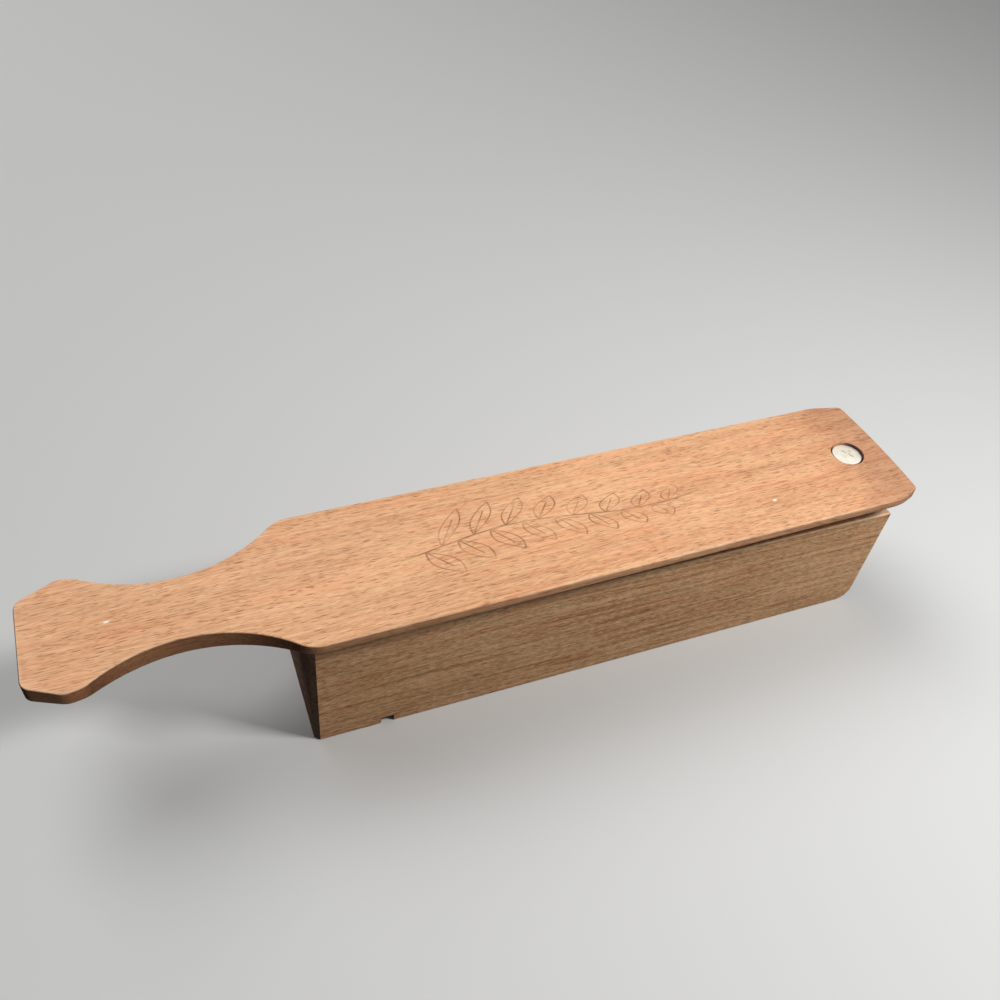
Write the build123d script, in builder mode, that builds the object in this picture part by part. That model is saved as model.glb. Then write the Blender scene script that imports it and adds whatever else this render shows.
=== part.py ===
from build123d import *

import os
from math import atan2, cos, pi, sin, sqrt

# A paddle box call: a narrow wooden sound box, open at the top, with a long
# wooden paddle that turns on one screw and rubs on the lips of the box.
# Millimetres. X runs along the box towards the screw, Y to the far side, Z up.
# The origin is the middle of the underside that the box stands on.

# Sound box, glued up from two thin sides, two end blocks and a bottom
box_length = 205.1
box_width = 42.7
box_height = 45.4
side_thickness = 3.0
lip_round = 0.6
lip_corner_round = 0.6
pivot_corner_round = 5.5
handle_corner_cut = 1.7
bottom_thickness = 6.0
handle_block_length = 16.0
pivot_block_length = 24.0

# Sawn groove across the underside, which keeps a rubber band in place
groove_width = 4.1
groove_depth = 2.9
groove_inset = 23.4

# Paddle lid, cut from one board and rounded across its underside
side_overhang = 4.05
lid_thickness = 7.2
crown_radius = 84.0
lid_tail = 14.0
tail_bow = 0.9
near_clip_length = 9.0
near_clip_width = 3.3
far_clip_length = 12.3
far_clip_width = 2.6
tail_side_round = 18.0
tail_corner_round = 2.2
shoulder_round = 11.0
neck_width = 22.4
neck_radius = 43.6
neck_inset = 41.2
handle_reach = 73.3
handle_width = 40.4
handle_side_length = 5.0
handle_flare_width = 38.6
handle_end_width = 29.3
handle_end_skew = 0.9
handle_corner_blend = 5.0
handle_flare_blend = 8.0
handle_end_round = 4.0
lid_top_round = 0.5
lid_lower_round = 0.6
pivot_gap = 4.45
lip_gap = 0.3

# Pivot screw, a pan head with a cross recess, sunk just under the lid's top
screw_inset = 8.4
screw_radius = 2.4
screw_length = 31.0
screw_point_length = 5.0
screw_tip_radius = 0.3
head_radius = 5.1
head_height = 2.6
head_edge_height = 2.1
head_recess = 0.2
recess_span = 4.8
recess_width = 1.0
recess_depth = 0.6
recess_taper = 8.0
recess_turn = 30.0
head_hole_clearance = 0.65
shank_hole_clearance = 0.5
head_play = 0.05
thread_clearance = 0.02
pilot_spare_depth = 0.5

# Coil spring on the screw, in a bore of the block, with a washer under the lid
spring_wire = 0.8
spring_pitch = 2.05
spring_shank_clearance = 0.35
spring_bore_clearance = 0.35
spring_bore_depth = 6.0
spring_play = 0.1
washer_outer_radius = 4.7
washer_thickness = 0.8
washer_seat_depth = 0.4
washer_seat_clearance = 0.3

# Places along and across the box
handle_end = -box_length / 2
pivot_end = box_length / 2
chamber_width = box_width - 2 * side_thickness
lid_width = box_width + 2 * side_overhang
screw_x = pivot_end - screw_inset
groove_x = handle_end + groove_inset
screw_axis = Axis((screw_x, 0, 0), (0, 0, 1))

# The lid stands higher at the screw than at the handle end of the box
lid_span = box_length - screw_inset
lid_pitch = atan2(pivot_gap - lip_gap, lid_span)
lid_under_z = box_height + pivot_gap
lid_top_z = lid_under_z + lid_thickness / cos(lid_pitch)
lid_plane = Plane(
    origin=(screw_x, 0, lid_top_z),
    x_dir=(cos(lid_pitch), 0, sin(lid_pitch)),
    z_dir=(-sin(lid_pitch), 0, cos(lid_pitch)),
)
crown_plane = Plane(
    origin=lid_plane.origin + lid_plane.z_dir * (crown_radius - lid_thickness),
    x_dir=lid_plane.y_dir,
    z_dir=lid_plane.x_dir,
)

# Levels and radii down the screw
head_top_z = lid_top_z - head_recess
head_under_z = head_top_z - head_height
lid_floor_z = head_under_z - head_play
washer_top_z = lid_under_z + washer_seat_depth
washer_under_z = washer_top_z - washer_thickness
spring_bore_z = box_height - spring_bore_depth
screw_tip_z = head_under_z - screw_length
head_hole_radius = head_radius + head_hole_clearance
shank_hole_radius = screw_radius + shank_hole_clearance
spring_radius = screw_radius + spring_shank_clearance + spring_wire / 2
spring_bore_radius = spring_radius + spring_wire / 2 + spring_bore_clearance
head_crown_rise = head_height - head_edge_height
head_crown_radius = (head_radius**2 + head_crown_rise**2) / (2 * head_crown_rise)

os.makedirs("parts", exist_ok=True)

# Side view of the box, with eased corners at the screw and the sawn band groove
with BuildSketch(Plane.XZ) as side_view:
    with Locations((0, box_height / 2)):
        Rectangle(box_length, box_height)
    fillet(side_view.vertices().sort_by_distance((pivot_end, box_height))[0], radius=lip_corner_round)
    fillet(side_view.vertices().sort_by_distance((pivot_end, 0))[0], radius=pivot_corner_round)
    with Locations((groove_x, 0)):
        Rectangle(groove_width, 2 * groove_depth, mode=Mode.SUBTRACT)

# Plan of the box, with its upright corners cut off under the handle
with BuildSketch() as plan_view:
    Rectangle(box_length, box_width)
    chamfer(plan_view.vertices().group_by(Axis.X)[0], length=handle_corner_cut)


def side_board(middle_y):
    """A thin upright side, rounded along the lip that the lid rubs on."""
    with BuildPart() as board:
        with BuildSketch(Plane.YZ.offset(handle_end)) as section:
            with Locations((middle_y, box_height / 2)):
                Rectangle(side_thickness, box_height)
            fillet(section.vertices().group_by(Axis.Y)[-1], radius=lip_round)
        extrude(amount=box_length)
        extrude(side_view.sketch, amount=box_width, both=True, mode=Mode.INTERSECT)
        extrude(plan_view.sketch, amount=box_height, mode=Mode.INTERSECT)
    return board


# Near side of the sound box
near_side_board = side_board(-(chamber_width + side_thickness) / 2)
near_side_board.part.label = "near_side_board"
export_step(near_side_board.part, "parts/near_side_board.step")

# Far side of the sound box
far_side_board = side_board((chamber_width + side_thickness) / 2)
far_side_board.part.label = "far_side_board"
export_step(far_side_board.part, "parts/far_side_board.step")

# Bottom, let in between the sides
with BuildPart() as bottom_board:
    with BuildSketch(Plane.XY):
        Rectangle(box_length, chamber_width)
    extrude(amount=bottom_thickness)
    extrude(side_view.sketch, amount=box_width, both=True, mode=Mode.INTERSECT)
bottom_board.part.label = "bottom_board"
export_step(bottom_board.part, "parts/bottom_board.step")

# End block under the handle
with BuildPart() as handle_end_block:
    with BuildSketch(Plane.XY.offset(bottom_thickness)):
        with Locations((handle_end, 0)):
            Rectangle(handle_block_length, chamber_width, align=(Align.MIN, Align.CENTER))
    extrude(amount=box_height - bottom_thickness)
handle_end_block.part.label = "handle_end_block"
export_step(handle_end_block.part, "parts/handle_end_block.step")

# End block that takes the screw, bored for the spring and piloted for the thread
with BuildPart() as pivot_end_block:
    with BuildSketch(Plane.XY.offset(bottom_thickness)):
        with Locations((pivot_end, 0)):
            Rectangle(pivot_block_length, chamber_width, align=(Align.MAX, Align.CENTER))
    extrude(amount=box_height - bottom_thickness)
    extrude(side_view.sketch, amount=box_width, both=True, mode=Mode.INTERSECT)
    with Locations((screw_x, 0, box_height)):
        CounterBoreHole(
            radius=screw_radius + thread_clearance,
            counter_bore_radius=spring_bore_radius,
            counter_bore_depth=spring_bore_depth,
            depth=box_height - screw_tip_z + pilot_spare_depth,
        )
pivot_end_block.part.label = "pivot_end_block"
export_step(pivot_end_block.part, "parts/pivot_end_block.step")

# Paddle lid, drawn on its own top face with the screw at the middle of the plane
paddle_end = -lid_span - handle_reach
neck_x = paddle_end + neck_inset
neck_centre_y = neck_width / 2 + neck_radius
neck_start_x = neck_x - sqrt(neck_radius**2 - (neck_centre_y - handle_flare_width / 2) ** 2)
shoulder_x = neck_x + sqrt(neck_radius**2 - (neck_centre_y - lid_width / 2) ** 2)
tail_clips = (
    (-1, near_clip_length, near_clip_width),
    (1, far_clip_length, far_clip_width),
)

with BuildPart() as lid:
    with BuildSketch(lid_plane) as paddle:
        corner_rounds = []
        with BuildLine():
            for side, clip_length, clip_width in tail_clips:
                end_corner = (paddle_end - side * handle_end_skew / 2, side * handle_end_width / 2)
                handle_corner = (neck_start_x - handle_side_length, side * handle_width / 2)
                neck_start = (neck_start_x, side * handle_flare_width / 2)
                neck_middle = (neck_x, side * neck_width / 2)
                shoulder = (shoulder_x, side * lid_width / 2)
                tail_side = (lid_tail - clip_length, side * lid_width / 2)
                tail_corner = (lid_tail - tail_bow, side * (lid_width / 2 - clip_width))
                Polyline((paddle_end, 0), end_corner, handle_corner, neck_start)
                ThreePointArc(neck_start, neck_middle, shoulder)
                Polyline(shoulder, tail_side, tail_corner)
                TangentArc((lid_tail, 0), tail_corner, tangent=(0, side))
                corner_rounds += [
                    (end_corner, handle_end_round),
                    (handle_corner, handle_corner_blend),
                    (neck_start, handle_flare_blend),
                    (shoulder, shoulder_round),
                    (tail_side, tail_side_round),
                    (tail_corner, tail_corner_round),
                ]
        make_face()
        for corner, radius in corner_rounds:
            fillet(paddle.vertices().sort_by_distance(corner)[0], radius=radius)
    extrude(amount=-2 * lid_thickness)
    with BuildSketch(crown_plane):
        Circle(crown_radius)
    extrude(amount=-2 * paddle_end, both=True, mode=Mode.INTERSECT)
    crown_face = lid.faces().filter_by(GeomType.CYLINDER).sort_by(SortBy.AREA)[-1]
    fillet(crown_face.edges(), radius=lid_lower_round)
    top_face = lid.faces().filter_by(GeomType.PLANE).sort_by(SortBy.AREA)[-1]
    fillet(top_face.edges(), radius=lid_top_round)
    with BuildSketch(Plane.XY.offset(lid_floor_z)):
        with Locations((screw_x, 0)):
            Circle(head_hole_radius)
    extrude(amount=lid_thickness, mode=Mode.SUBTRACT)
    with BuildSketch(Plane.XY.offset(lid_floor_z)):
        with Locations((screw_x, 0)):
            Circle(shank_hole_radius)
    extrude(amount=-lid_thickness, mode=Mode.SUBTRACT)
    with BuildSketch(Plane.XY.offset(washer_top_z)):
        with Locations((screw_x, 0)):
            Circle(washer_outer_radius + washer_seat_clearance)
    extrude(amount=-lid_thickness, mode=Mode.SUBTRACT)
lid.part.label = "lid"
export_step(lid.part, "parts/lid.step")

# Steel washer between the spring and the lid
with BuildPart() as spring_washer:
    with BuildSketch(Plane.XY.offset(washer_under_z)):
        with Locations((screw_x, 0)):
            Circle(washer_outer_radius)
            Circle(shank_hole_radius, mode=Mode.SUBTRACT)
    extrude(amount=washer_thickness)
spring_washer.part.label = "spring_washer"
export_step(spring_washer.part, "parts/spring_washer.step")

# Pivot screw, turned about its own axis, with a cross recess in the head
screw_profile = Plane(origin=(screw_x, 0, 0), x_dir=(1, 0, 0), z_dir=(0, -1, 0))
head_edge = (head_radius, head_under_z + head_edge_height)
with BuildPart() as pivot_screw:
    with BuildSketch(screw_profile):
        with BuildLine():
            Polyline(
                (0, head_top_z),
                (0, screw_tip_z),
                (screw_tip_radius, screw_tip_z),
                (screw_radius, screw_tip_z + screw_point_length),
                (screw_radius, head_under_z),
                (head_radius, head_under_z),
                head_edge,
            )
            RadiusArc(head_edge, (0, head_top_z), -head_crown_radius)
        make_face()
    revolve(axis=screw_axis)
    with BuildSketch(Plane.XY.offset(head_top_z)):
        with Locations((screw_x, 0)):
            Rectangle(recess_span, recess_width, rotation=recess_turn)
            Rectangle(recess_width, recess_span, rotation=recess_turn)
    extrude(amount=-recess_depth, taper=recess_taper, mode=Mode.SUBTRACT)
pivot_screw.part.label = "pivot_screw"
export_step(pivot_screw.part, "parts/pivot_screw.step")

# Coil spring, an open helix of round wire drawn half a turn at a time
spring_low_z = spring_bore_z + spring_play + spring_wire / 2
spring_high_z = washer_under_z - spring_play - spring_wire / 2
half_turns = max(2, round(2 * (spring_high_z - spring_low_z) / spring_pitch))
spring_rise = (spring_high_z - spring_low_z) / half_turns


def spring_place(half_turn):
    """The middle of the wire and its direction after so many half turns."""
    angle = pi * half_turn
    middle = Vector(
        screw_x + spring_radius * cos(angle),
        spring_radius * sin(angle),
        spring_low_z + spring_rise * half_turn,
    )
    direction = Vector(-sin(angle), cos(angle), spring_rise / (pi * spring_radius))
    return middle, direction.normalized()


with BuildPart() as lid_spring:
    with BuildLine() as spring_line:
        for half_turn in range(half_turns):
            first, leaving = spring_place(half_turn)
            last, arriving = spring_place(half_turn + 1)
            across = last - first
            along = across.dot(leaving + arriving)
            spread = 2 * (1 - leaving.dot(arriving))
            reach = (sqrt(along**2 + spread * across.dot(across)) - along) / spread
            meeting = (first + leaving * reach + last - arriving * reach) / 2
            TangentArc(first, meeting, tangent=leaving)
            TangentArc(meeting, last, tangent=last - arriving * reach - meeting)
    with BuildSketch(Plane(origin=spring_place(0)[0], z_dir=spring_place(0)[1])):
        Circle(spring_wire / 2)
    sweep(path=spring_line.wires()[0])
lid_spring.part.label = "lid_spring"
export_step(lid_spring.part, "parts/lid_spring.step")

# Least gap between one turn of the spring and the next, measured on points of its wire
points_per_turn = 48
wire = spring_line.wires()[0]
point_count = points_per_turn * half_turns // 2
wire_points = [wire.position_at(k / point_count) for k in range(point_count + 1)]
turn_gaps = [
    (wire_points[j] - wire_points[i]).length - spring_wire
    for i in range(point_count + 1)
    for j in range(i + points_per_turn // 2, point_count + 1)
]
print("least gap of the spring to itself, mm:", round(min(turn_gaps), 3))
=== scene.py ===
import math

import bmesh
import bpy
from mathutils import Matrix, Vector, geometry, noise


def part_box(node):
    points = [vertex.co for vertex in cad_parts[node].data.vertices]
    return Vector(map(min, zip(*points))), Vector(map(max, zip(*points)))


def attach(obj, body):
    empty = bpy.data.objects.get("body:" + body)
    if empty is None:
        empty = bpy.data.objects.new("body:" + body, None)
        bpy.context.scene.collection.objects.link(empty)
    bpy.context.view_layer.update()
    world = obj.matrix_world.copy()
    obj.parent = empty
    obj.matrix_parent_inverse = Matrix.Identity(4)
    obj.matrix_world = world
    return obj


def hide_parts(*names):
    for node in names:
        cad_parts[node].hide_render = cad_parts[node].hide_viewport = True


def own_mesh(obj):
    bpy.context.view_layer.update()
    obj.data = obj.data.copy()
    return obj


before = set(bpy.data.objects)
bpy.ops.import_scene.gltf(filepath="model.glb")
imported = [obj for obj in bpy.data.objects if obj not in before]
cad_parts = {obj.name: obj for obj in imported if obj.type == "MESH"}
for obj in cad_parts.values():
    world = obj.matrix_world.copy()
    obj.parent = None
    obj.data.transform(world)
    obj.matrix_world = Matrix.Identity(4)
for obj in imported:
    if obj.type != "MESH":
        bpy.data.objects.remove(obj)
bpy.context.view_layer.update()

# Viewpoint: held above the near side by the handle's end, looking down along the call. The place and the
# lens come from the lid's outline and the box's upright edges in the photograph.
MM = 0.001
eye = Vector((-129.75, -181.34, 265.57)) * MM
eye_right = Vector((0.928134, -0.359560, 0.096350))
eye_up = Vector((0.188342, 0.676870, 0.711601))
camera = bpy.data.objects.new("viewpoint", bpy.data.cameras.new("viewpoint"))
camera.data.sensor_width = 36.0
camera.data.lens = 34.0555
camera.data.clip_start = 0.01
turned = Matrix((eye_right, eye_up, eye_right.cross(eye_up))).transposed()
camera.matrix_world = Matrix.Translation(eye) @ turned.to_4x4()
bpy.context.scene.collection.objects.link(camera)
bpy.context.scene.camera = camera

# Side boards of the sound box: two thin upright boards of mahogany, planed, sanded and glued against the
# bottom and the end blocks. Their upper edges are the lips that the lid rubs on, rounded over by hand and
# rubbed bare, with a little chalk left on them, and paler near the pivot end as painted light.
near_low, near_high = (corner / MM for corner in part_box("near_side_board"))
far_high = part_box("far_side_board")[1] / MM
handle_end, pivot_end, lip_z = near_low.x, near_high.x, near_high.z
board_thickness = near_high.y - near_low.y
LIP_ROUND = 0.6
LIP_CORNER_ROUND = 0.6
PIVOT_CORNER_ROUND = 5.5
HANDLE_CORNER_CUT = 1.7
SANDED_ARRIS = 0.3
SAWN_ARRIS = 0.15
GROOVE_FROM, GROOVE_TO, GROOVE_DEPTH = 21.35, 25.45, 2.9
FLAT_MARGIN = 0.6
BOARD_STEP = 2.5
ARC_STEP = 0.5
SHARP_TURN = math.radians(40)
ARRIS_DEPTHS = (0.0, 0.02, 0.05, 0.1, 0.15, 0.22, 0.3, 0.4, 0.5, 0.6)


def linear(hex_colour):
    """An sRGB hex colour as the linear colour that a shader takes."""
    shares = [int(hex_colour[i:i + 2], 16) / 255 for i in (1, 3, 5)]
    return tuple(s / 12.92 if s <= 0.04045 else ((s + 0.055) / 1.055) ** 2.4 for s in shares) + (1.0,)


def add(tree, kind, inputs, **settings):
    """Adds a node with its settings, and gives each input a value or a link from a node or an output."""
    made = tree.nodes.new("ShaderNode" + kind)
    for name, value in settings.items():
        setattr(made, name, value)
    for key, value in inputs.items():
        named = [s for s in made.inputs if s.enabled and s.name == key]
        socket = named[0] if named else made.inputs[key]
        if isinstance(value, bpy.types.Node):
            value = next(s for s in value.outputs if s.enabled)
        if isinstance(value, bpy.types.NodeSocket):
            tree.links.new(value, socket)
        else:
            socket.default_value = value
    return made


def per_mm(along, across):
    """The scale that makes a pattern so many millimetres long with the grain and across it."""
    return (1 / along, 1 / across, 1 / across)


def new_material(name):
    """A material with nothing in it yet, and its node tree."""
    material = bpy.data.materials.new(name)
    material.use_nodes = True
    material.node_tree.nodes.clear()
    return material, material.node_tree


def mahogany(name, cut_from, light, dark, pore, pore_share, line_depth, fibre_length=2.2):
    """Oiled mahogany, sawn, planed and sanded, with its grain along X. The eye gets short dark pores drawn
    out along the grain, fine fibres, slow changes of tone from yellow to pink, and an end grain dark from oil
    and darker still as painted shade."""
    material, tree = new_material(name)
    place = add(tree, "TexCoord", {})
    log = add(tree, "VectorMath", {0: place.outputs["Object"], 1: (1000.0,) * 3, 2: cut_from},
              operation="MULTIPLY_ADD")

    # the grain sways by a millimetre or two over a hand's length
    slow = add(tree, "VectorMath", {0: log, 1: per_mm(110, 26)}, operation="MULTIPLY")
    sway = add(tree, "TexNoise", {"Vector": slow, "Scale": 1.0, "Detail": 1.0})
    offset = add(tree, "VectorMath", {0: sway.outputs["Color"], 1: (0.0, 5.0, 5.0), 2: (0.0, -2.5, -2.5)},
                 operation="MULTIPLY_ADD")
    grain = add(tree, "VectorMath", {0: log, 1: offset}, operation="ADD")

    # growth rings 3.4 mm apart, counted from the heart of the log
    across = add(tree, "VectorMath", {0: grain, 1: (0.0, 1.0, 1.0)}, operation="MULTIPLY")
    heart = add(tree, "VectorMath", {0: across}, operation="LENGTH")
    turns = add(tree, "Math", {0: heart.outputs["Value"], 1: 2 * math.pi / 3.4}, operation="MULTIPLY")
    ring = add(tree, "Math", {0: turns}, operation="SINE")

    # streaks 1.1 mm wide, patches a few centimetres long, and fibres; these are some hundredths of a
    # millimetre wide and drawn at 0.3 mm so that they show
    streak_cells = add(tree, "VectorMath", {0: grain, 1: per_mm(34, 1.1)}, operation="MULTIPLY")
    streak = add(tree, "TexNoise", {"Vector": streak_cells, "Scale": 1.0, "Detail": 3.0, "Roughness": 0.6})
    fibre_cells = add(tree, "VectorMath", {0: grain, 1: per_mm(fibre_length, 0.3)}, operation="MULTIPLY")
    fibre = add(tree, "TexNoise", {"Vector": fibre_cells, "Scale": 1.0, "Detail": 3.0, "Roughness": 0.7})
    patch_cells = add(tree, "VectorMath", {0: log, 1: per_mm(60, 16)}, operation="MULTIPLY")
    patch = add(tree, "TexNoise", {"Vector": patch_cells, "Scale": 1.0, "Detail": 3.0})
    blush_cells = add(tree, "VectorMath", {0: grain, 1: per_mm(24, 5)}, operation="MULTIPLY")
    blush = add(tree, "TexNoise", {"Vector": blush_cells, "Scale": 1.0, "Detail": 2.0})

    # dark growth lines, as long as a finger and 0.4 mm wide
    line_cells = add(tree, "VectorMath", {0: grain, 1: per_mm(80, 0.9)}, operation="MULTIPLY")
    line = add(tree, "TexNoise", {"Vector": line_cells, "Scale": 1.0, "Detail": 2.0})
    line_tone = add(tree, "MapRange", {"Value": line, "From Min": 0.52, "From Max": 0.7, "To Max": line_depth})

    # open pores, 1 to 6 mm long; they are 0.1 mm wide and drawn at 0.2 mm so that they show
    pores = None
    for length, width, kept, depth in ((6.5, 0.55, 0.1, 1.0), (3.6, 0.42, 0.2, 0.85), (10.0, 0.46, 0.32, 0.8)):
        cells = add(tree, "VectorMath", {0: grain, 1: per_mm(length, width)}, operation="MULTIPLY")
        cell = add(tree, "TexVoronoi", {"Vector": cells, "Scale": 1.0, "Randomness": 1.0})
        body = add(tree, "MapRange", {"Value": cell.outputs["Distance"], "From Min": 0.16, "From Max": 0.27,
                                      "To Min": depth, "To Max": 0.0})
        chance = add(tree, "SeparateColor", {"Color": cell.outputs["Color"]})
        crowd = add(tree, "Math", {0: streak, 1: 0.9, 2: chance}, operation="MULTIPLY_ADD")
        open_pore = add(tree, "MapRange", {"Value": crowd, "From Min": kept + 0.45, "From Max": kept + 0.85})
        mark = add(tree, "Math", {0: body, 1: open_pore}, operation="MULTIPLY")
        pores = mark if pores is None else add(tree, "Math", {0: pores, 1: mark}, operation="MAXIMUM")

    streak_tone = add(tree, "MapRange", {"Value": streak, "From Min": 0.3, "From Max": 0.7, "To Min": 0.15,
                                         "To Max": 0.6})
    ring_tone = add(tree, "Math", {0: ring, 1: 0.09, 2: streak_tone}, operation="MULTIPLY_ADD")
    fibre_tone = add(tree, "MapRange", {"Value": fibre, "From Min": 0.25, "From Max": 0.75, "To Min": -0.75,
                                        "To Max": 0.75})
    tone = add(tree, "Math", {0: ring_tone, 1: fibre_tone}, operation="ADD")
    slow_tone = add(tree, "MapRange", {"Value": patch, "From Min": 0.3, "From Max": 0.7, "To Min": -0.15,
                                       "To Max": 0.15})
    tone = add(tree, "Math", {0: tone, 1: slow_tone}, operation="ADD")
    tone = add(tree, "Math", {0: tone, 1: line_tone}, operation="ADD", use_clamp=True)
    wood = add(tree, "Mix", {"Factor": tone, "A": linear(light), "B": linear(dark)}, data_type="RGBA")
    pink = add(tree, "MapRange", {"Value": blush, "From Min": 0.42, "From Max": 0.72, "To Max": 0.55})
    wood = add(tree, "Mix", {"Factor": pink, "A": wood, "B": linear("#FFE6DC")}, data_type="RGBA",
               blend_type="MULTIPLY")
    shown = add(tree, "Math", {0: pores, 1: pore_share}, operation="MULTIPLY")
    wood = add(tree, "Mix", {"Factor": shown, "A": wood, "B": linear(pore)}, data_type="RGBA")

    # arrises rubbed a little paler by hands
    edge = add(tree, "Attribute", {}, attribute_name="worn")
    rubbed = add(tree, "Math", {0: edge.outputs["Fac"], 1: 0.7}, operation="MULTIPLY", use_clamp=True)
    wood = add(tree, "Mix", {"Factor": rubbed, "A": wood, "B": linear("#F6DDBB")}, data_type="RGBA")

    # end grain soaks up the oil, turns dark and has no shine; its colour is darkened further as painted shade,
    # for the end faces in the handle's shadow
    facing = add(tree, "SeparateXYZ", {"Vector": place.outputs["Normal"]})
    cross_cut = add(tree, "Math", {0: facing.outputs["X"]}, operation="ABSOLUTE")
    end_grain = add(tree, "MapRange", {"Value": cross_cut, "From Min": 0.25, "From Max": 0.8},
                    interpolation_type="SMOOTHSTEP")
    soaked_and_shaded = add(tree, "Math", {0: end_grain, 1: 0.88}, operation="MULTIPLY")
    end_wood_and_shade = add(tree, "Mix", {"Factor": tone, "A": linear("#7B6A62"), "B": linear("#514340")},
                   data_type="RGBA")
    end_wood_and_shade = add(tree, "Mix", {"Factor": pores, "A": end_wood_and_shade, "B": linear("#3A2C26")}, data_type="RGBA")
    wood = add(tree, "Mix", {"Factor": soaked_and_shaded, "A": wood, "B": end_wood_and_shade}, data_type="RGBA")

    rough = add(tree, "MapRange", {"Value": streak, "To Min": 0.52, "To Max": 0.66})
    rough = add(tree, "Math", {0: pores, 1: 0.2, 2: rough}, operation="MULTIPLY_ADD")
    rough = add(tree, "Math", {0: end_grain, 1: 0.3, 2: rough}, operation="MULTIPLY_ADD", use_clamp=True)
    height = add(tree, "Math", {0: fibre, 1: 0.08}, operation="MULTIPLY")
    height = add(tree, "Math", {0: height, 1: pores}, operation="SUBTRACT")
    bump = add(tree, "Bump", {"Height": height, "Strength": 0.2, "Distance": 0.1 * MM})
    shine = add(tree, "Math", {0: end_grain, 1: -0.3, 2: 0.3}, operation="MULTIPLY_ADD", use_clamp=True)
    shader = add(tree, "BsdfPrincipled", {"Base Color": wood, "Roughness": rough, "Normal": bump, "IOR": 1.5,
                                          "Specular IOR Level": shine})
    add(tree, "OutputMaterial", {"Surface": shader})
    return material, shader, wood, place


def chalked_and_lit_lip(name, cut_from):
    """The side boards' wood, with the lip worn to bare pale wood that chalk has got into, and painted paler
    towards the pivot end as painted light.
    """
    material, shader, wood, place = mahogany(name, cut_from, "#F8CA99", "#A66F41", "#653A22", 0.65, 0.32)
    tree = material.node_tree
    facing = add(tree, "SeparateXYZ", {"Vector": place.outputs["Normal"]})
    smear = add(tree, "TexNoise", {"Vector": place.outputs["Object"], "Scale": 1 / (6 * MM), "Detail": 3.0})
    dusty = add(tree, "MapRange", {"Value": smear, "From Min": 0.3, "From Max": 0.65, "To Min": 0.15,
                                   "To Max": 0.6})
    on_top = add(tree, "MapRange", {"Value": facing.outputs["Z"], "From Min": 0.9, "From Max": 0.99})
    chalk = add(tree, "Math", {0: dusty, 1: on_top}, operation="MULTIPLY")
    # painted light: the pale chalk colour on the lip's top is laid on fully only towards the pivot end, where
    # light reaches under the lid's tail; elsewhere a quarter of it stays
    spot = add(tree, "SeparateXYZ", {"Vector": place.outputs["Object"]})
    towards_pivot_end = add(tree, "MapRange", {"Value": spot.outputs["X"], "From Min": 78 * MM, "From Max": 90 * MM,
                                      "To Min": 0.25, "To Max": 1.0})
    chalk = add(tree, "Math", {0: chalk, 1: towards_pivot_end}, operation="MULTIPLY")
    wood = add(tree, "Mix", {"Factor": chalk, "A": wood, "B": linear("#F2D8BC")}, data_type="RGBA")
    tree.links.new(wood.outputs[2], shader.inputs["Base Color"])
    return material


def arc(middle, radius, first, last):
    """Points on an arc between two angles, closer together on a tight one."""
    count = max(4, math.ceil(abs(last - first) * max(radius, 1.0) / ARC_STEP))
    angles = (first + (last - first) * k / count for k in range(count + 1))
    return [Vector(middle) + radius * Vector((math.cos(a), math.sin(a))) for a in angles]


def rounded(before, corner, after, radius):
    """Points round a corner between two straight edges."""
    corner = Vector(corner)
    back = (Vector(before) - corner).normalized()
    on = (Vector(after) - corner).normalized()
    half = back.angle(on) / 2
    middle = corner + (back + on).normalized() * radius / math.sin(half)
    start = corner + back * radius / math.tan(half) - middle
    first = math.atan2(start.y, start.x)
    turn = math.pi - 2 * half
    return arc(middle, radius, first, first + (turn if back.cross(on) < 0 else -turn))


def make_piece(name, mesh, material, body, slot, *nodes):
    """Turns a mesh in millimetres into a piece that rides on a body and stands for its solids."""
    bmesh.ops.recalc_face_normals(mesh, faces=mesh.faces)
    data = bpy.data.meshes.new(name)
    mesh.to_mesh(data)
    mesh.free()
    data.transform(Matrix.Scale(MM, 4))
    data.shade_smooth()
    data.set_sharp_from_angle(angle=SHARP_TURN)
    data.materials.append(material)
    piece = bpy.data.objects.new(name, data)
    bpy.context.scene.collection.objects.link(piece)
    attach(piece, body)
    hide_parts(*nodes)
    return piece


def ring_wall(mesh, rings):
    """Joins rings of vertices, each as long as the next, into a band of faces."""
    for upper, lower in zip(rings, rings[1:]):
        for i in range(len(upper)):
            mesh.faces.new((upper[i - 1], upper[i], lower[i], lower[i - 1]))


def drawn_in(radius, depth):
    """How far an arris draws in at a depth under the face that it starts from. A cut has a negative radius."""
    if radius < 0:
        return max(-radius - depth, 0.0)
    return radius - math.sqrt(radius ** 2 - (radius - depth) ** 2) if depth < radius else 0.0


def board_outline(corners):
    """Points round a board, each with the edges that it lies on as (inward, outer round, inner round).
    A corner has a place, its own round, and the rounds along the two arrises of the edge after it."""
    points = []
    count = len(corners)
    for i, (x, z, radius, outer, inner) in enumerate(corners):
        corner, before, after = (Vector(corners[k % count][:2]) for k in (i, i - 1, i + 1))
        ends = []
        for way, rounds in ((corner - before, corners[i - 1][3:]), (after - corner, (outer, inner))):
            ends.append((Vector((-way.y, way.x)).normalized(), *rounds))
        if radius:
            turn = rounded(before, corner, after, radius)
            for k, point in enumerate(turn):
                share = k / (len(turn) - 1)
                inward, outer_round, inner_round = (a + (b - a) * share for a, b in zip(*ends))
                points.append((point, [(inward.normalized(), outer_round, inner_round)]))
        else:
            points.append((corner, ends))
        reach = corners[(i + 1) % count][2]
        first, last = points[-1][0], after - (after - corner).normalized() * reach
        steps = max(1, round((last - first).length / BOARD_STEP))
        points += [(first.lerp(last, k / steps), [ends[1]]) for k in range(1, steps)]
    return points


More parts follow.
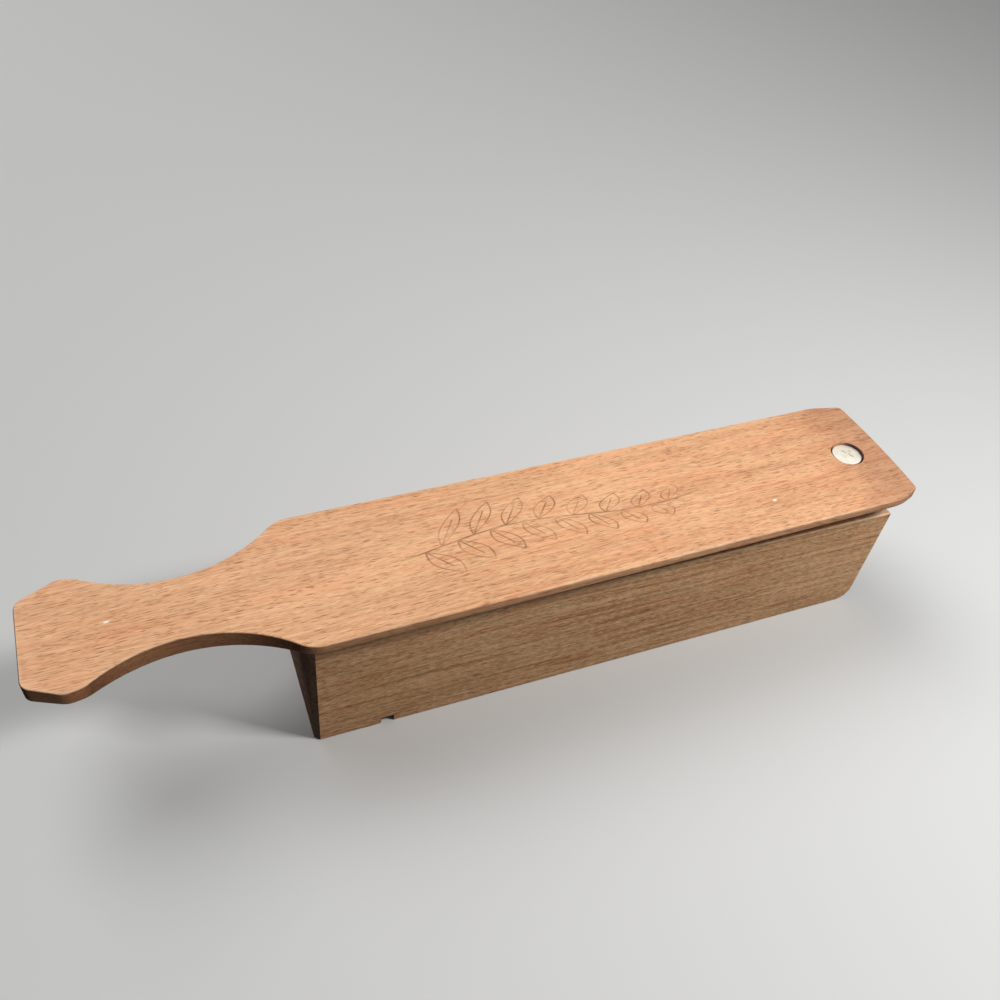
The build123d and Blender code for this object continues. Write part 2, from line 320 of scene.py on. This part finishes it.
def board(name, corners, face_y, into, thickness, material, *nodes):
    """A board seen from the side, in X and Z, with a thickness from its outer face inwards."""
    depths = {depth for depth in ARRIS_DEPTHS if depth < thickness}
    depths |= {thickness - depth for depth in ARRIS_DEPTHS if depth <= LIP_ROUND}
    levels = [(depth, 0.0) for depth in sorted(depths | {HANDLE_CORNER_CUT})]
    levels = [(0.0, FLAT_MARGIN), *levels, (thickness, FLAT_MARGIN)]
    outline = board_outline(corners)
    mesh = bmesh.new()
    worn = mesh.verts.layers.float.new("worn")
    rings = []
    for depth, margin in levels:
        ring = []
        for point, edges in outline:
            at = point.copy()
            wear = 0.0
            for inward, outer, inner in edges:
                at += inward * (margin + drawn_in(outer, depth) + drawn_in(inner, thickness - depth))
                wear = max(wear, 1 - abs(2 * depth / outer - 1))
            vertex = mesh.verts.new((at.x, face_y + into * depth, at.y))
            vertex[worn] = wear
            ring.append(vertex)
        rings.append(ring)
    ring_wall(mesh, rings)
    for ring in (rings[0], rings[-1]):
        edges = [mesh.edges.get((ring[i - 1], ring[i])) for i in range(len(ring))]
        bmesh.ops.triangle_fill(mesh, use_beauty=True, edges=edges)
    make_piece(name, mesh, material, "box", "box_wood", *nodes)


groove_left, groove_right = handle_end + GROOVE_FROM, handle_end + GROOVE_TO


def foot(outer):
    """The corners along the underside, from the handle's end past the sawn groove to the pivot's end."""
    return (
        (handle_end, 0, 0, outer, SAWN_ARRIS),
        (groove_left, 0, 0, SAWN_ARRIS, SAWN_ARRIS),
        (groove_left, GROOVE_DEPTH, 0, SAWN_ARRIS, SAWN_ARRIS),
        (groove_right, GROOVE_DEPTH, 0, SAWN_ARRIS, SAWN_ARRIS),
        (groove_right, 0, 0, outer, SAWN_ARRIS),
        (pivot_end, 0, PIVOT_CORNER_ROUND, outer, SAWN_ARRIS),
    )


side_corners = foot(SANDED_ARRIS) + (
    (pivot_end, lip_z, LIP_CORNER_ROUND, LIP_ROUND, LIP_ROUND),
    (handle_end, lip_z, 0, -HANDLE_CORNER_CUT, SAWN_ARRIS),
)
near_wood = chalked_and_lit_lip("oiled mahogany, near side", (40.0, 12.0, -120.0))
far_wood = chalked_and_lit_lip("oiled mahogany, far side", (310.0, -14.0, -135.0))
board("near_side", side_corners, near_low.y, 1, board_thickness, near_wood, "near_side_board")
board("far_side", side_corners, far_high.y, -1, board_thickness, far_wood, "far_side_board")

# Bottom: a thicker strip of the same mahogany glued in between the sides. The groove for a rubber band is
# sawn straight across it and both sides after the box is glued up.
bottom_low, bottom_high = (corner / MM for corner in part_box("bottom_board"))
chamber_width = bottom_high.y - bottom_low.y
bottom_corners = foot(SAWN_ARRIS) + (
    (pivot_end, bottom_high.z, 0, SAWN_ARRIS, SAWN_ARRIS),
    (handle_end, bottom_high.z, 0, SAWN_ARRIS, SAWN_ARRIS),
)
bottom_wood, *_ = mahogany("oiled mahogany, bottom", (-120.0, 20.0, 44.0), "#E8B285", "#C98F62", "#7C4C2F",
                           0.4, 0.4)
board("bottom", bottom_corners, bottom_low.y, 1, chamber_width, bottom_wood, "bottom_board")

# End blocks: two short lengths of mahogany glued in between the sides, with their end grain at the ends of
# the box. The longer one is bored for the spring and takes the screw.
block_low, block_high = (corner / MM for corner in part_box("handle_end_block"))
block_corners = tuple(
    (x, z, 0, SAWN_ARRIS, SAWN_ARRIS)
    for x, z in ((block_low.x, block_low.z), (block_high.x, block_low.z),
                 (block_high.x, block_high.z), (block_low.x, block_high.z))
)
block_wood, *_ = mahogany("oiled mahogany, end blocks", (-260.0, 34.0, 18.0), "#E8B285", "#C98F62", "#7C4C2F",
                          0.4, 0.4)
board("handle_block", block_corners, block_low.y, 1, chamber_width, block_wood, "handle_end_block")


def dress(node, material):
    """Gives its material to a solid that shows as it is."""
    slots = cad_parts[node].data.materials
    slots.clear()
    slots.append(material)


dress("pivot_end_block", block_wood)

# Spring: a few open turns of drawn steel wire around the screw, standing in the block's bore. It holds the
# lid up at this end and presses its handle down on the lips.
spring_low, spring_high = (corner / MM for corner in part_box("lid_spring"))
WIRE = 0.4
SPRING_TURNS = 4.5
screw_x = (spring_low.x + spring_high.x) / 2
spring_radius = (spring_high.y - spring_low.y) / 2 - WIRE

spring_steel, tree = new_material("drawn spring steel")
# wire drawn through a die: a grey shine and a little dust
place = add(tree, "TexCoord", {})
dust = add(tree, "TexNoise", {"Vector": place.outputs["Object"], "Scale": 1 / (1.2 * MM), "Detail": 3.0})
rough = add(tree, "MapRange", {"Value": dust, "From Min": 0.35, "From Max": 0.7, "To Min": 0.25, "To Max": 0.5})
tint = add(tree, "Mix", {"Factor": dust, "A": linear("#B9B8B4"), "B": linear("#8C8780")}, data_type="RGBA")
shader = add(tree, "BsdfPrincipled", {"Base Color": tint, "Metallic": 1.0, "Roughness": rough})
add(tree, "OutputMaterial", {"Surface": shader})

mesh = bmesh.new()
SPRING_STEPS, WIRE_SIDES = 40, 12
coils = []
step_count = int(SPRING_TURNS * SPRING_STEPS)
for k in range(step_count + 1):
    angle = 2 * math.pi * k / SPRING_STEPS
    out = Vector((math.cos(angle), math.sin(angle), 0))
    height = spring_low.z + WIRE + (spring_high.z - spring_low.z - 2 * WIRE) * k / step_count
    middle = out * spring_radius + Vector((screw_x, 0, height))
    turns = (2 * math.pi * j / WIRE_SIDES for j in range(WIRE_SIDES))
    coils.append([mesh.verts.new(middle + WIRE * (math.cos(t) * out + math.sin(t) * Vector((0, 0, 1))))
                  for t in turns])
ring_wall(mesh, coils)
mesh.faces.new(coils[0])
mesh.faces.new(coils[-1])
spring = make_piece("coil_spring", mesh, spring_steel, "spring", "spring_steel", "lid_spring")
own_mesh(spring)

# Washer: a small stamped steel washer let into the lid's underside, which the spring pushes and turns on.
# Stamping leaves one edge rounded and the other sharp.
washer_low, washer_high = (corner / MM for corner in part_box("spring_washer"))
WASHER_BORE = 2.9
SHEARED_EDGE, ROLLED_EDGE, BORE_EDGE = 0.1, 0.25, (0.2, 0.15)
RING_SIDES = 64
washer_radius = (washer_high.y - washer_low.y) / 2


def lathed(mesh, profile):
    """Rings of vertices about the screw's axis, one for each (radius, height) of a profile."""
    rings = []
    for radius, height in profile:
        angles = (2 * math.pi * k / RING_SIDES for k in range(RING_SIDES))
        rings.append([mesh.verts.new((screw_x + radius * math.cos(a), radius * math.sin(a), height))
                      for a in angles])
    return rings


mesh = bmesh.new()
top, low = washer_high.z, washer_low.z
profile = ((WASHER_BORE, top), (washer_radius - SHEARED_EDGE, top), (washer_radius, top - SHEARED_EDGE),
           (washer_radius, low + ROLLED_EDGE), (washer_radius - 0.08, low + 0.08),
           (washer_radius - ROLLED_EDGE, low), (WASHER_BORE + BORE_EDGE[0], low),
           (WASHER_BORE, low + BORE_EDGE[1]))
rings = lathed(mesh, profile)
ring_wall(mesh, rings + rings[:1])
washer_steel = spring_steel.copy()
washer_steel.name = "stamped steel"
make_piece("washer", mesh, washer_steel, "lid", "washer_steel", "spring_washer")

# Lid: a paddle cut from one mahogany board, flat on top and rounded across its underside so that it rubs on
# the lips. It has a waisted handle, clipped corners and a stepped hole for the screw. A sprig of leaves is
# burned into its top with a fine point, and hands have worn it.
LID_TOP_Z = 57.0516
LID_RISE, LID_RUN = 4.15, 196.7
LID_PITCH = math.atan2(LID_RISE, LID_RUN)
LID_THICKNESS, CROWN_RADIUS = 7.2, 84.0
LID_HALF, HANDLE_HALF, FLARE_HALF, HANDLE_END_HALF = 25.4, 20.2, 19.3, 14.65
PADDLE_END, LID_TAIL, TAIL_BOW = -270.0, 14.0, 0.9
NECK_X, NECK_HALF, NECK_RADIUS = PADDLE_END + 41.2, 11.2, 43.6
HANDLE_SIDE, HANDLE_BLEND, FLARE_BLEND, HANDLE_END_ROUND, HANDLE_END_SKEW = 5.0, 5.0, 8.0, 4.0, 0.9
SHOULDER_ROUND, TAIL_SIDE_ROUND, TAIL_ROUND = 11.0, 18.0, 2.2
NEAR_CLIP, FAR_CLIP = (9.0, 3.3), (12.3, 2.6)
LID_TOP_ROUND, LID_LOWER_ROUND = 0.5, 0.6
HEAD_HOLE, SHANK_HOLE, WASHER_SEAT = 5.75, 2.9, 5.0
HEAD_FLOOR_Z, SEAT_Z, HOLE_ARRIS = 54.2016, 50.25, 0.3
CHIPPED_FROM, CHIP_INWARD, CHIP_DOWN, CHIPS_PER_MM, RUBS_PER_MM = -140.0, 0.5, 0.4, 0.35, 0.03
LID_STEP, UNDER_ROW, UNDER_COLUMN, UNDER_MARGIN = 1.0, 7.0, 2.6, 3.0
neck_y = NECK_HALF + NECK_RADIUS


def blend(start, way, radius, other, reach, sign):
    """The middle of a round that touches a straight edge and stands at a reach from another middle."""
    inner = start + Vector((way.y, -way.x)) * radius
    past = (inner - other).dot(way)
    return inner + way * (sign * math.sqrt(past ** 2 - (inner - other).length_squared + reach ** 2) - past)


def heading(way):
    """The angle that a direction makes with the lid's length."""
    return math.atan2(way.y, way.x)


def lid_side(end_reach, clip_length, clip_width):
    """One long edge of the lid, from its handle's end to its tail, as (along, out from the middle)."""
    neck = Vector((NECK_X, neck_y))
    end_corner = Vector((PADDLE_END - end_reach, HANDLE_END_HALF))
    neck_start = Vector((NECK_X - math.sqrt(NECK_RADIUS ** 2 - (neck_y - FLARE_HALF) ** 2), FLARE_HALF))
    handle_corner = Vector((neck_start.x - HANDLE_SIDE, HANDLE_HALF))
    flaring = (neck_start - handle_corner).normalized()
    flare = blend(handle_corner, flaring, FLARE_BLEND, neck, NECK_RADIUS + FLARE_BLEND, -1)
    shoulder_y = LID_HALF - SHOULDER_ROUND
    shoulder_reach = math.sqrt((NECK_RADIUS + SHOULDER_ROUND) ** 2 - (neck_y - shoulder_y) ** 2)
    shoulder = Vector((NECK_X + shoulder_reach, shoulder_y))
    tail_side = Vector((LID_TAIL - clip_length, LID_HALF))
    tail_corner = Vector((LID_TAIL - TAIL_BOW, LID_HALF - clip_width))
    clip = (tail_corner - tail_side).normalized()
    tail_radius = (tail_corner.y ** 2 + TAIL_BOW ** 2) / (2 * TAIL_BOW)
    bow = Vector((LID_TAIL - tail_radius, 0))
    tail = blend(tail_side, clip, TAIL_ROUND, bow, tail_radius - TAIL_ROUND, 1)
    flare_angle, shoulder_angle = heading(flare - neck), heading(shoulder - neck)
    tail_angle = heading(tail - bow)
    return [
        *rounded((PADDLE_END, 0), end_corner, handle_corner, HANDLE_END_ROUND),
        *rounded(end_corner, handle_corner, neck_start, HANDLE_BLEND),
        *arc(flare, FLARE_BLEND, heading(flaring) + math.pi / 2, flare_angle + math.pi),
        *arc(neck, NECK_RADIUS, flare_angle, shoulder_angle),
        *arc(shoulder, SHOULDER_ROUND, shoulder_angle + math.pi, math.pi / 2),
        *rounded(shoulder + Vector((0, SHOULDER_ROUND)), tail_side, tail_corner, TAIL_SIDE_ROUND),
        *arc(tail, TAIL_ROUND, heading(clip) + math.pi / 2, tail_angle),
        *arc(bow, tail_radius, tail_angle, 0.0),
    ]


def stepped(points, step):
    """A closed outline with its long edges cut into steps, so that wear can show on them."""
    out = []
    for i, point in enumerate(points):
        ahead = points[(i + 1) % len(points)] - point
        if ahead.length > 1e-4:
            count = max(1, round(ahead.length / step))
            out += [point + ahead * k / count for k in range(count)]
    return out


def inward(outline):
    """At each point of an outline that runs anticlockwise, the direction into it."""
    along = [outline[(i + 1) % len(outline)] - outline[i - 1] for i in range(len(outline))]
    return [Vector((-a.y, a.x)).normalized() for a in along]


def edge_section(thickness, top_round, low_round, steps=5):
    """Places down a rounded edge, as (inset from the outline, depth under the top, share of wear)."""
    quarter = [math.radians(90 * k / steps) for k in range(steps + 1)]
    top = [(top_round * (1 - math.sin(a)), top_round * (1 - math.cos(a)),
            0.7 * math.cos(a) + 0.5 * math.sin(2 * a)) for a in quarter]
    low = [(low_round * (1 - math.sin(a)), thickness - low_round * (1 - math.cos(a)), 0.5 * math.sin(2 * a))
           for a in reversed(quarter)]
    return [(top_round + FLAT_MARGIN, 0, 0), *top, *low, (low_round + FLAT_MARGIN, thickness, 0)]


def lid_place(along, out, up):
    """A place on the tilted lid, as (from the screw, from the middle, from the top), in the row's frame."""
    return Vector((screw_x + along * math.cos(LID_PITCH) - up * math.sin(LID_PITCH), out,
                   LID_TOP_Z + along * math.sin(LID_PITCH) + up * math.cos(LID_PITCH)))


def under_lid(out):
    """How far the crowned underside lies from the flat top."""
    return CROWN_RADIUS - LID_THICKNESS - math.sqrt(CROWN_RADIUS ** 2 - out ** 2)


def hole_ring(mesh, radius, up_of):
    """A ring about the screw's upright axis, on the lid's top or underside."""
    ring = []
    for k in range(RING_SIDES):
        x, y = (radius * f(2 * math.pi * k / RING_SIDES) for f in (math.cos, math.sin))
        up = up_of(y)
        along = (x + up * math.sin(LID_PITCH)) / math.cos(LID_PITCH)
        ring.append(((along, y), mesh.verts.new(lid_place(along, y, up))))
    return ring


def fill_flat(mesh, outer, hole, inner, up_of):
    """Fills between an outer ring and a hole with triangles, through inner points."""
    places = outer + hole + [(p, mesh.verts.new(lid_place(*p, up_of(p[1])))) for p in inner]
    flat = [Vector(p) for p, _ in places]
    edges = [(i - 1 if i else len(outer) - 1, i) for i in range(len(outer))]
    edges += [(len(outer) + (k - 1) % len(hole), len(outer) + k) for k in range(len(hole))]
    hole_radius = max(Vector(p).length for p, _ in hole)
    _, _, faces, origins, _, _ = geometry.delaunay_2d_cdt(flat, edges, [], 1, 1e-5)
    for face in faces:
        corners = [origins[i][0] for i in face]
        if sum((flat[i] for i in corners), Vector((0, 0))).length / 3 > hole_radius * 0.98:
            mesh.faces.new([places[i][1] for i in corners])


near_edge = [Vector((p.x, -p.y)) for p in lid_side(-HANDLE_END_SKEW / 2, *NEAR_CLIP)]
far_edge = lid_side(HANDLE_END_SKEW / 2, *FAR_CLIP)
outline = stepped(near_edge + far_edge[::-1], LID_STEP)
normals = inward(outline)
mesh = bmesh.new()
worn = mesh.verts.layers.float.new("worn")
columns = []
for point, normal in zip(outline, normals):
    column = []
    thickness = -under_lid(point.y)
    chip = 0.0
    if point.y < 0.1 - LID_HALF and point.x > CHIPPED_FROM:
        chip = max(noise.noise(Vector((point.x * CHIPS_PER_MM, point.y * CHIPS_PER_MM, 4.2))) - 0.1, 0)
    rubbing = 0.22 + 0.5 * noise.noise(Vector((point.x * RUBS_PER_MM, point.y * RUBS_PER_MM, 7.6)))
    for inset, depth, wear in edge_section(thickness, LID_TOP_ROUND, LID_LOWER_ROUND):
        at = point + normal * (inset + CHIP_INWARD * chip * wear)
        up = under_lid(at.y) if depth == thickness else -depth - CHIP_DOWN * chip * wear
        vertex = mesh.verts.new(lid_place(at.x, at.y, up))
        vertex[worn] = wear * (max(rubbing, 0) + chip)
        column.append(((at.x, at.y), vertex))
    columns.append(column)
edge_rings = list(zip(*columns))
ring_wall(mesh, [[v for _, v in ring] for ring in edge_rings])

top_hole = hole_ring(mesh, HEAD_HOLE + HOLE_ARRIS, lambda out: 0.0)
seat_hole = hole_ring(mesh, WASHER_SEAT, under_lid)
hole_arris = [[v for _, v in hole_ring(mesh, HEAD_HOLE + inset, lambda out, drop=drop: -drop)]
              for inset, drop in ((0.3 * HOLE_ARRIS, 0.3 * HOLE_ARRIS), (0.0, HOLE_ARRIS))]
stepped_hole = lathed(mesh, ((HEAD_HOLE, HEAD_FLOOR_Z), (SHANK_HOLE, HEAD_FLOOR_Z), (SHANK_HOLE, SEAT_Z),
                             (WASHER_SEAT, SEAT_Z)))
ring_wall(mesh, [[v for _, v in top_hole], *hole_arris, *stepped_hole, [v for _, v in seat_hole]])
fill_flat(mesh, list(edge_rings[0]), top_hole, [], lambda out: 0.0)


def half_width(along):
    """The lid's half width at a place along it, a little inside its edge."""
    return min((abs(p.y) for p in outline if abs(p.x - along) < 1.2 * LID_STEP), default=0) - UNDER_MARGIN


under_points = []
for row in range(int((LID_TAIL - PADDLE_END) / UNDER_ROW)):
    along = PADDLE_END + 5 + UNDER_ROW * row
    for column in range(-9, 10):
        out = column * UNDER_COLUMN
        if abs(out) < half_width(along) and math.hypot(along, out) > WASHER_SEAT + 2:
            under_points.append((along, out))
fill_flat(mesh, list(edge_rings[-1]), seat_hole, under_points, under_lid)

lid_wood, shader, wood, place = mahogany("oiled mahogany, lid", (-15.0, 18.0, -140.0), "#F3BE90", "#C99168",
                                         "#7A4A2E", 0.74, 0.3, fibre_length=5.0)
tree = lid_wood.node_tree
on_lid = add(tree, "VectorMath", {0: place.outputs["Object"], 1: (1000.0,) * 3}, operation="MULTIPLY")
spot = add(tree, "SeparateXYZ", {"Vector": on_lid})
along, out = spot.outputs["X"], spot.outputs["Y"]

# the top is a shade redder and darker towards the tail by the screw
smear = add(tree, "TexNoise", {"Vector": place.outputs["Object"], "Scale": 1 / (9 * MM), "Detail": 3.0})
smear = add(tree, "Math", {0: smear, 1: 26.0, 2: along}, operation="MULTIPLY_ADD")
tail_ramp = add(tree, "MapRange", {"Value": along, "From Min": 5.0, "From Max": 60.0, "To Max": 0.28})
tail_darkening = add(tree, "MapRange", {"Value": smear, "From Min": 90.0, "From Max": 118.0, "To Max": 0.72},
              interpolation_type="SMOOTHSTEP")
tail_darkening = add(tree, "Math", {0: tail_darkening, 1: tail_ramp}, operation="ADD")
wood = add(tree, "Mix", {"Factor": tail_darkening, "A": wood, "B": linear("#D2CBCD")}, data_type="RGBA",
           blend_type="MULTIPLY")

# burned sprig: a swaying stem, and leaves in turn on its two sides that lean towards the screw
SPRIG_FROM, SPRIG_TO, LEAF_PITCH, LEAF_COUNT = -62.0, 33.0, 11.0, 8
LEAF_LENGTHS = (12.5, 6.0)
LEAF_LEAN, LEAF_HALF, STEM_SWAY = 0.75, 0.3, 2.6
LINE_CORE, LINE_EDGE, VEIN_END, STEM_TURN = 0.12, 0.42, 0.7, 0.6
turn = add(tree, "Math", {0: along, 1: 2 * math.pi / (SPRIG_TO - SPRIG_FROM), 2: STEM_TURN},
           operation="MULTIPLY_ADD")
turn = add(tree, "Math", {0: turn}, operation="SINE")
stem = add(tree, "Math", {0: turn, 1: STEM_SWAY, 2: out}, operation="MULTIPLY_ADD")
beside = add(tree, "Math", {0: stem}, operation="ABSOLUTE")
near_half = add(tree, "Math", {0: stem, 1: 0.0}, operation="LESS_THAN")
steps = add(tree, "Math", {0: along, 1: 1 / LEAF_PITCH, 2: -SPRIG_FROM / LEAF_PITCH}, operation="MULTIPLY_ADD")
steps = add(tree, "Math", {0: beside, 1: -LEAF_LEAN / LEAF_PITCH, 2: steps}, operation="MULTIPLY_ADD")
steps = add(tree, "Math", {0: near_half, 1: 0.5, 2: steps}, operation="MULTIPLY_ADD")
leaf = add(tree, "Math", {0: steps}, operation="FLOOR")
aside = add(tree, "Math", {0: steps, 1: leaf}, operation="SUBTRACT")
aside = add(tree, "Math", {0: aside, 1: 0.5}, operation="SUBTRACT")
aside = add(tree, "Math", {0: aside}, operation="ABSOLUTE")
length = add(tree, "MapRange", {"Value": leaf, "From Min": 0.0, "From Max": LEAF_COUNT - 1,
                                "To Min": LEAF_LENGTHS[0], "To Max": LEAF_LENGTHS[1]})
share = add(tree, "Math", {0: beside, 1: length}, operation="DIVIDE")
swell = add(tree, "Math", {0: share, 1: math.pi}, operation="MULTIPLY")
swell = add(tree, "Math", {0: swell}, operation="SINE")
rim = add(tree, "Math", {0: swell, 1: -LEAF_HALF, 2: aside}, operation="MULTIPLY_ADD")
rim = add(tree, "Math", {0: rim}, operation="ABSOLUTE")
vein = add(tree, "MapRange", {"Value": share, "From Min": VEIN_END, "From Max": VEIN_END + 0.02})
vein = add(tree, "Math", {0: aside, 1: vein}, operation="ADD")
stroke = add(tree, "Math", {0: rim, 1: vein}, operation="MINIMUM")
stroke = add(tree, "Math", {0: stroke, 1: LEAF_PITCH}, operation="MULTIPLY")
past_tip = add(tree, "Math", {0: share, 1: 1.0}, operation="GREATER_THAN")
first_leaf = add(tree, "Math", {0: leaf, 1: -0.5}, operation="LESS_THAN")
last_leaf = add(tree, "Math", {0: leaf, 1: LEAF_COUNT - 0.5}, operation="GREATER_THAN")
for nothing in (past_tip, first_leaf, last_leaf):
    stroke = add(tree, "Math", {0: stroke, 1: nothing}, operation="ADD")
stem_end = add(tree, "Math", {0: along, 1: SPRIG_TO}, operation="GREATER_THAN")
stem_start = add(tree, "Math", {0: along, 1: SPRIG_FROM - LEAF_PITCH / 2}, operation="LESS_THAN")
for nothing in (stem_end, stem_start):
    beside = add(tree, "Math", {0: beside, 1: nothing}, operation="ADD")
stroke = add(tree, "Math", {0: stroke, 1: beside}, operation="MINIMUM")
burn = add(tree, "MapRange", {"Value": stroke, "From Min": LINE_CORE, "From Max": LINE_EDGE, "To Min": 1.0,
                              "To Max": 0.0})
rub = add(tree, "TexNoise", {"Vector": place.outputs["Object"], "Scale": 1 / (7 * MM), "Detail": 3.0})
rub = add(tree, "MapRange", {"Value": rub, "From Min": 0.35, "From Max": 0.62, "To Min": 0.3, "To Max": 0.75})
burn = add(tree, "Math", {0: burn, 1: rub}, operation="MULTIPLY")
facing = add(tree, "SeparateXYZ", {"Vector": place.outputs["Normal"]})
upper = add(tree, "Math", {0: facing.outputs["Z"], 1: 0.9}, operation="GREATER_THAN")
burn = add(tree, "Math", {0: burn, 1: upper}, operation="MULTIPLY")
wood = add(tree, "Mix", {"Factor": burn, "A": wood, "B": linear("#7A4A30")}, data_type="RGBA")

# the handle's and the neck's upright edges are darkened, and the long edges less and less towards the tail:
# partly the grease of hands, partly painted shade on edges that face away from the light
upright = add(tree, "Math", {0: facing.outputs["Z"]}, operation="ABSOLUTE")
upright = add(tree, "MapRange", {"Value": upright, "From Min": 0.35, "From Max": 0.6, "To Min": 1.0,
                                 "To Max": 0.0})
dark_at_handle = add(tree, "MapRange", {"Value": along, "From Min": -104.0, "From Max": -90.0, "To Min": 1.0,
                                 "To Max": 0.0})
dark_along_edges = add(tree, "MapRange", {"Value": along, "From Min": -90.0, "From Max": 15.0, "To Min": 0.62,
                                 "To Max": 0.0})
grease_and_shade = add(tree, "Math", {0: dark_at_handle, 1: dark_along_edges}, operation="MAXIMUM")
grease_and_shade = add(tree, "Math", {0: upright, 1: grease_and_shade}, operation="MULTIPLY")
wood = add(tree, "Mix", {"Factor": grease_and_shade, "A": wood, "B": linear("#B4A598")}, data_type="RGBA",
           blend_type="MULTIPLY")

# tiny pale nicks in the top, as (along, out, half length, half width, depth)
for x, y, half_length, half_wide, depth in ((-152.9, 0.6, 1.0, 0.45, 1.0), (-139.7, 6.4, 0.5, 0.4, 0.35),
                                            (55.4, -12.8, 0.9, 0.5, 1.0)):
    nick = add(tree, "VectorMath", {0: on_lid, 1: (x, y, 0.0)}, operation="SUBTRACT")
    nick = add(tree, "VectorMath", {0: nick, 1: (1 / half_length, 1 / half_wide, 0.0)}, operation="MULTIPLY")
    nick = add(tree, "VectorMath", {0: nick}, operation="LENGTH")
    nick = add(tree, "MapRange", {"Value": nick.outputs["Value"], "From Min": 0.5, "From Max": 1.0,
                                  "To Min": depth, "To Max": 0.0})
    nick = add(tree, "Math", {0: nick, 1: upper}, operation="MULTIPLY")
    wood = add(tree, "Mix", {"Factor": nick, "A": wood, "B": linear("#FBF3E4")}, data_type="RGBA")
tree.links.new(wood.outputs[2], shader.inputs["Base Color"])
make_piece("paddle_lid", mesh, lid_wood, "lid", "lid_wood", "lid")

# Screw: a pan-head steel wood screw with a cross recess, bright zinc plated, driven down through the lid and
# the spring into the pivot block. Its head sits just under the lid's top.
screw_zinc, tree = new_material("bright zinc plate")
# plated over a turned head: nearly white, with a soft bloom and fine scratches from the driver, which are
# drawn 0.2 mm wide so that they show
place = add(tree, "TexCoord", {})
bloom = add(tree, "TexNoise", {"Vector": place.outputs["Object"], "Scale": 1 / (1.6 * MM), "Detail": 4.0})
scratch_cells = add(tree, "VectorMath", {0: place.outputs["Object"], 1: Vector(per_mm(2.0, 0.2)) / MM},
                    operation="MULTIPLY")
scratch = add(tree, "TexNoise", {"Vector": scratch_cells, "Scale": 1.0, "Detail": 2.0})
rough = add(tree, "MapRange", {"Value": bloom, "From Min": 0.3, "From Max": 0.7, "To Min": 0.34,
                               "To Max": 0.55})
mixed = add(tree, "Math", {0: bloom, 1: scratch}, operation="MULTIPLY")
shade = add(tree, "MapRange", {"Value": mixed, "From Min": 0.1, "From Max": 0.45})
tint = add(tree, "Mix", {"Factor": shade, "A": linear("#F2ECE0"), "B": linear("#D8D1C4")}, data_type="RGBA")
bump = add(tree, "Bump", {"Height": scratch, "Strength": 0.2, "Distance": 0.05 * MM})
shader = add(tree, "BsdfPrincipled", {"Base Color": tint, "Metallic": 1.0, "Roughness": rough, "Normal": bump})
add(tree, "OutputMaterial", {"Surface": shader})
dress("pivot_screw", screw_zinc)

# Studio: a plain pale floor, one broad soft lamp above and behind to the left, a smaller one in front to the
# right, and an even surround. The floor and the surround look pale, but throw little light back on the call.
floor_data = bpy.data.meshes.new("floor")
FLOOR_HALF = 3.0
floor_data.from_pydata([(x * FLOOR_HALF, y * FLOOR_HALF, 0) for x, y in ((-1, -1), (1, -1), (1, 1), (-1, 1))],
                       [], [(0, 1, 2, 3)])
floor = bpy.data.objects.new("floor", floor_data)
bpy.context.scene.collection.objects.link(floor)


def seen_or_lit(tree, seen, lit):
    """One colour for what the eye sees, also in a reflection, and another for the light thrown back."""
    ray = add(tree, "LightPath", {})
    eyes = add(tree, "Math", {0: ray.outputs["Is Camera Ray"], 1: ray.outputs["Is Glossy Ray"]},
               operation="MAXIMUM")
    eyes = add(tree, "Math", {0: eyes, 1: ray.outputs["Is Transmission Ray"]}, operation="MAXIMUM")
    return add(tree, "Mix", {"Factor": eyes, "A": linear(lit), "B": linear(seen)}, data_type="RGBA")


floor_paint = bpy.data.materials.new("matt pale floor paint")
floor_paint.use_nodes = True
tree = floor_paint.node_tree
floor_shader = tree.nodes["Principled BSDF"]
tree.links.new(seen_or_lit(tree, "#D2D2D0", "#5E5E5D").outputs[2], floor_shader.inputs["Base Color"])
floor_shader.inputs["Roughness"].default_value = 0.9
floor_shader.inputs["Specular IOR Level"].default_value = 0.2
floor_data.materials.append(floor_paint)


def lamp(name, watts, size, place, aim=(0, 0, 0.03)):
    """A square soft lamp at a place, in metres, turned towards the call."""
    light = bpy.data.lights.new(name, "AREA")
    light.energy, light.size = watts, size
    made = bpy.data.objects.new(name, light)
    made.location = place
    made.rotation_euler = (Vector(aim) - Vector(place)).to_track_quat("-Z", "Y").to_euler()
    bpy.context.scene.collection.objects.link(made)


lamp("soft_key", 18.6, 1.2, (-0.6, 0.85, 1.45))
lamp("front_lamp", 2.3, 0.11, (0.29, -0.217, 0.46))
world = bpy.data.worlds.new("surround")
bpy.context.scene.world = world
world.use_nodes = True
tree = world.node_tree
tree.links.new(seen_or_lit(tree, "#F0F0EE", "#505153").outputs[2], tree.nodes["Background"].inputs["Color"])
bpy.context.scene.view_settings.view_transform = "Standard"
